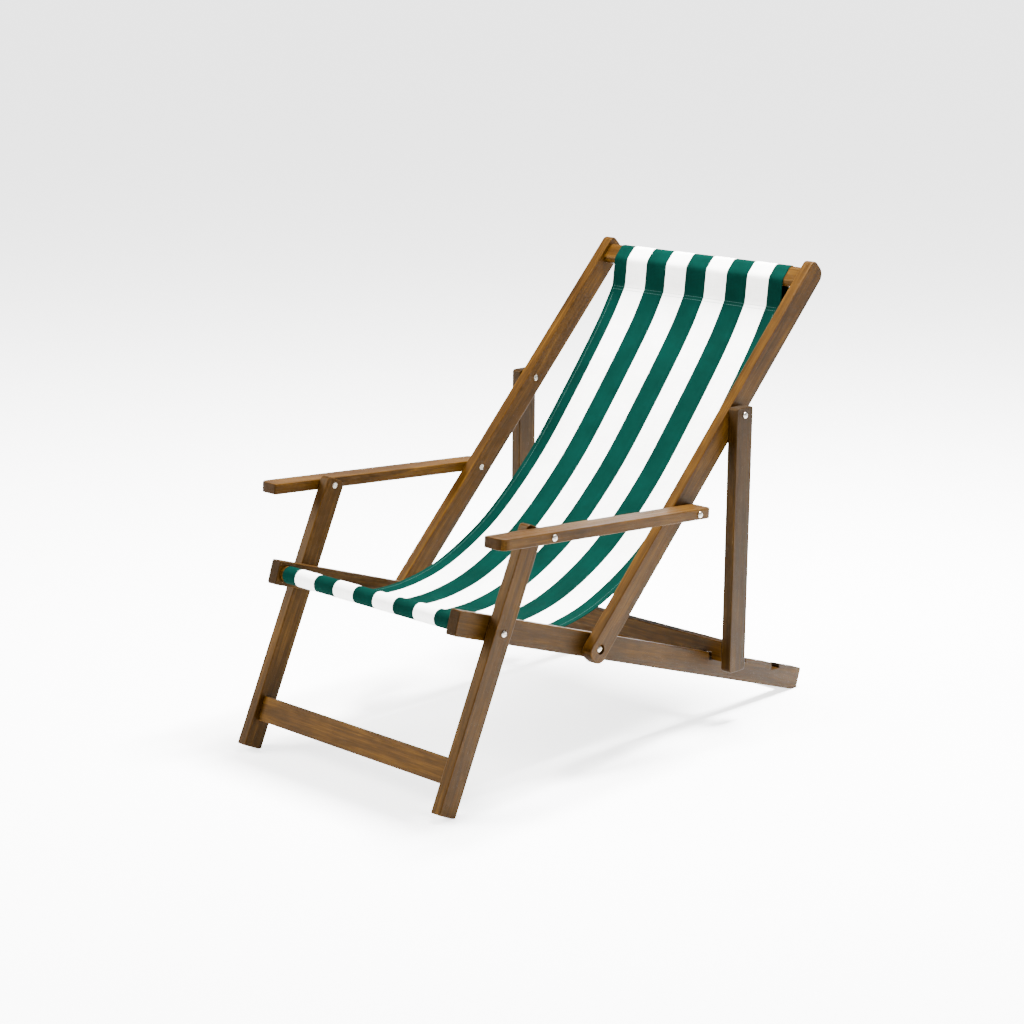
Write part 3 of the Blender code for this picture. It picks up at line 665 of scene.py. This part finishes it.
class Sling:
    """The cloth's middle surface, as a function of x and the distance along."""

    def __init__(self):
        self.line, self.length = resample(sling_profile(), ROW_SPACING / LINE_FINENESS)
        self.normals = [left_normal(self.line, i) for i in range(len(self.line))]
        self.dowel = side_centre("front_dowel")
        self.bar = side_centre("top_bar")
        last_y, last_z = SLING_LINE[-1]
        self.stitch_top = self.place_of(Vector((FOOT_Y + last_y, last_z)))
        self.stitch_front = self.place_at_front_seam()

    def place_at(self, index):
        return self.length * index / (len(self.line) - 1)

    def place_of(self, point):
        rows = range(len(self.line))
        return self.place_at(min(rows, key=lambda i: (self.line[i] - point).length))

    def place_at_front_seam(self):
        """Over the front seam, on the upper layer: past the wrap, before the back."""
        target = self.dowel.x + SEAM_FRONT_REACH
        rows = range(len(self.line) // 8, len(self.line) // 2)
        return self.place_at(min(rows, key=lambda i: abs(self.line[i].x - target)))

    def side_view(self, place):
        share = min(max(place / self.length, 0.0), 1.0) * (len(self.line) - 1)
        index = min(int(share), len(self.line) - 2)
        part = share - index
        point = self.line[index].lerp(self.line[index + 1], part)
        normal = self.normals[index].lerp(self.normals[index + 1], part).normalized()
        return point, normal

    def lift(self, x, place, point):
        """How far the cloth stands off its side-view line."""
        off_dowel = smoothstep(*DOWEL_CLEAR, (point - self.dowel).length)
        off_bar = smoothstep(*BAR_CLEAR, (point - self.bar).length)
        edge = abs(x) / CANVAS_HALF
        belly = near(point.x - FOOT_Y, BELLY_Y, BELLY_SPREAD)
        curl = CURL * belly * edge ** CURL_POWER
        broad_place = Vector((x * BROAD_ACROSS, place * BROAD_ALONG, BROAD_SLICE))
        broad = noise.noise(broad_place) * BROAD_WAVE
        ripple_place = Vector((x * RIPPLE_ACROSS, place * RIPPLE_ALONG, RIPPLE_SLICE))
        ripple = noise.noise(ripple_place) * BROAD_WAVE * RIPPLE_SHARE
        wander = noise.noise(Vector((x * PUCKER_WANDER_ACROSS, 0.0, 0.0)))
        turn = 2 * math.pi * x / PUCKER_PITCH + PUCKER_WANDER * wander
        pucker = PUCKER * math.sin(turn)
        seam = near(place, self.stitch_top - 2 * ROW_GAP, PUCKER_REACH)
        return off_dowel * off_bar * (curl + broad + ripple) + off_bar * pucker * seam

    def at(self, x, place):
        point, normal = self.side_view(place)
        middle = point + normal * self.lift(x, place, point)
        return Vector((x, middle.x, middle.y)), Vector((0.0, normal.x, normal.y))

    def thickness(self, x):
        inner = CANVAS_HALF - HEM_WIDTH
        hem = smoothstep(inner - HEM_STEP, inner + HEM_STEP, abs(x))
        rolled = smoothstep(CANVAS_HALF - HEM_ROLL, CANVAS_HALF, abs(x))
        return (CLOTH_THICKNESS + HEM_EXTRA * hem) * (1.0 - HEM_ROLL_THINNING * rolled)


def column_places():
    """Even columns, with closer ones at the hems."""
    inner = CANVAS_HALF - HEM_WIDTH - HEM_COLUMN_MARGIN
    left_hem = [-inner - step for step in reversed(HEM_COLUMNS)]
    middle = [-inner + 2 * inner * i / COLUMNS for i in range(COLUMNS + 1)]
    return left_hem + middle + [inner + step for step in HEM_COLUMNS]


def new_piece(name, vertices, faces, material):
    """A smooth mesh object in the scene."""
    mesh = bpy.data.meshes.new(name)
    mesh.from_pydata(vertices, [], faces)
    mesh.shade_smooth()
    mesh.materials.append(material)
    piece = bpy.data.objects.new(name, mesh)
    bpy.context.scene.collection.objects.link(piece)
    return piece


def sheet_faces(rows, width):
    """Upper face, lower face and the rim that joins them, as vertex numbers."""
    size = (rows + 1) * width
    faces = []
    for row in range(rows):
        for column in range(width - 1):
            a = row * width + column
            faces.append((a, a + 1, a + 1 + width, a + width))
            faces.append((size + a, size + a + width, size + a + 1 + width, size + a + 1))
    rim = list(range(width))
    rim += [row * width + width - 1 for row in range(1, rows + 1)]
    rim += [rows * width + column for column in range(width - 2, -1, -1)]
    rim += [row * width for row in range(rows - 1, 0, -1)]
    for start, end in zip(rim, rim[1:] + rim[:1]):
        faces.append((start, size + start, size + end, end))
    return faces


def canvas_sheet(sling, material):
    """A closed sheet: an upper and a lower face joined round the edges."""
    columns = column_places()
    rows = round(sling.length / ROW_SPACING)
    vertices = []
    coordinates = []
    for layer in (0.5, -0.5):
        for row in range(rows + 1):
            place = sling.length * row / rows
            for x in columns:
                middle, normal = sling.at(x, place)
                vertices.append(middle + normal * sling.thickness(x) * layer)
                coordinates.append(((x + CANVAS_HALF) / UV_SPAN, place / UV_SPAN))
    faces = sheet_faces(rows, len(columns))
    sheet = new_piece("canvas_sling", vertices, faces, material)
    cloth_map = sheet.data.uv_layers.new(name="cloth")
    for loop in sheet.data.loops:
        cloth_map.data[loop.index].uv = coordinates[loop.vertex_index]
    return sheet


def stitch(vertices, faces, start, end, normal):
    """One stitch: a short thread, sunk at both ends."""
    run = (end - start).normalized()
    side = run.cross(normal).normalized()
    first = len(vertices)
    for share, rise, swell in STITCH_RINGS:
        centre = start.lerp(end, share) + normal * THREAD_RADIUS * rise
        for step in range(THREAD_SIDES):
            angle = 2 * math.pi * step / THREAD_SIDES
            spoke = side * math.cos(angle) + normal * math.sin(angle)
            vertices.append(centre + spoke * THREAD_RADIUS * swell)
    last = first + (len(STITCH_RINGS) - 1) * THREAD_SIDES
    for ring in range(first, last, THREAD_SIDES):
        for step in range(THREAD_SIDES):
            a = ring + step
            b = ring + (step + 1) % THREAD_SIDES
            faces.append((a, b, b + THREAD_SIDES, a + THREAD_SIDES))
    faces.append(tuple(range(first, first + THREAD_SIDES))[::-1])
    faces.append(tuple(range(last, last + THREAD_SIDES)))


def stitch_ends(sling):
    """Both ends of each stitch, as (x, distance along), row by row."""
    half = CANVAS_HALF - HEM_STITCH / 2
    count = int(2 * half / STITCH_PITCH)
    top = sling.stitch_top - TOP_STITCH_INSET
    front = sling.stitch_front - FRONT_STITCH_INSET
    for place in (top, top - ROW_GAP, front, front - ROW_GAP):
        for index in range(count):
            x = -half + index * STITCH_PITCH
            yield (x, place), (x + STITCH_LENGTH, place)
    start = sling.stitch_front
    count = int((sling.stitch_top - 2 * ROW_GAP - start) / STITCH_PITCH)
    for side in (-1, 1):
        x = side * (CANVAS_HALF - HEM_STITCH)
        for index in range(count):
            place = start + index * STITCH_PITCH
            yield (x, place), (x, place + STITCH_LENGTH)


def stitching(sling, material):
    """Rows across the two pockets and along both side hems, on both faces."""
    vertices = []
    faces = []
    for ends in stitch_ends(sling):
        for face in (1, -1):
            on_face = []
            for x, place in ends:
                middle, normal = sling.at(x, place)
                on_face.append(middle + normal * (sling.thickness(x) / 2) * face)
            stitch(vertices, faces, *on_face, normal * face)
    return new_piece("canvas_stitching", vertices, faces, material)


def build_canvas():
    """The cloth and its thread, which bend together between the two frames."""
    sling = Sling()
    sheet = canvas_sheet(sling, canvas_cloth("striped_canvas"))
    thread = stitching(sling, thread_material("cotton_thread"))
    for piece in (sheet, thread):
        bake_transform(piece)
    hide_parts("canvas_seat", "canvas_back")


# ------------------------------------------------------------------ the frame

def timber_looks():
    """A wood for each timber: grain along it, its own part of the figure, and painted shade on
    some.
    """
    looks = {}
    offset = 0.0
    for part, (slope, share) in SLOPING_TIMBERS.items():
        # Painted shade: the seat rails, legs and prop struts get darker copies of the same
        # wood.
        shaded_tones = [shaded(tone, share) for tone in (DEEP, MIDDLE, PALE)]
        for side in ("left", "right"):
            offset += GRAIN_OFFSET
            name = part + "_" + side
            looks[name] = wood("wood_" + name, slope, *shaded_tones, offset)
    for name in CROSS_TIMBERS:
        offset += GRAIN_OFFSET
        looks[name] = wood("wood_" + name, None, DEEP, MIDDLE, PALE, offset)
    return looks


def dress_frame():
    """Wood on the timbers, plated steel on the pivots. The canvas is built apart."""
    steel = plated_steel("plated_steel")
    looks = timber_looks()
    for name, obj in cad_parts.items():
        is_pivot = any(word in name for word in ("bolt", "nut", "washer"))
        look = looks.get(name, steel if is_pivot else None)
        if look is not None:
            for slot in obj.material_slots:
                slot.material = look


# --------------------------------------------------------- floor, light, camera

def aimed(direction):
    """The turn that points a lamp or a camera along a direction."""
    return Vector(direction).to_track_quat("-Z", "Y").to_euler()


def add_floor():
    bpy.ops.mesh.primitive_plane_add(size=FLOOR_SIZE)
    floor = bpy.context.object
    floor.name = "studio_floor"
    floor.data.materials.append(plain_floor("studio_floor"))


def add_softbox(name, place, target, size, power, color):
    data = bpy.data.lights.new(name, "AREA")
    data.shape = "RECTANGLE"
    data.size, data.size_y = size
    data.energy = power
    data.color = color
    lamp = bpy.data.objects.new(name, data)
    lamp.location = place
    lamp.rotation_euler = aimed(Vector(target) - Vector(place))
    bpy.context.scene.collection.objects.link(lamp)


def add_lights():
    world = bpy.data.worlds.new("studio")
    world.use_nodes = True
    background = world.node_tree.nodes["Background"]
    background.inputs["Color"].default_value = (1.0, 1.0, 1.0, 1.0)
    background.inputs["Strength"].default_value = WORLD_STRENGTH
    bpy.context.scene.world = world
    for name, settings in LIGHTS.items():
        add_softbox(name, *settings)


def add_camera():
    data = bpy.data.cameras.new("camera")
    data.lens = CAMERA_LENS
    data.sensor_width = CAMERA_SENSOR
    camera = bpy.data.objects.new("camera", data)
    camera.location = CAMERA_PLACE
    camera.rotation_euler = aimed(CAMERA_ASPECT)
    bpy.context.scene.collection.objects.link(camera)
    bpy.context.scene.camera = camera


dress_frame()
build_canvas()
add_floor()
add_lights()
add_camera()
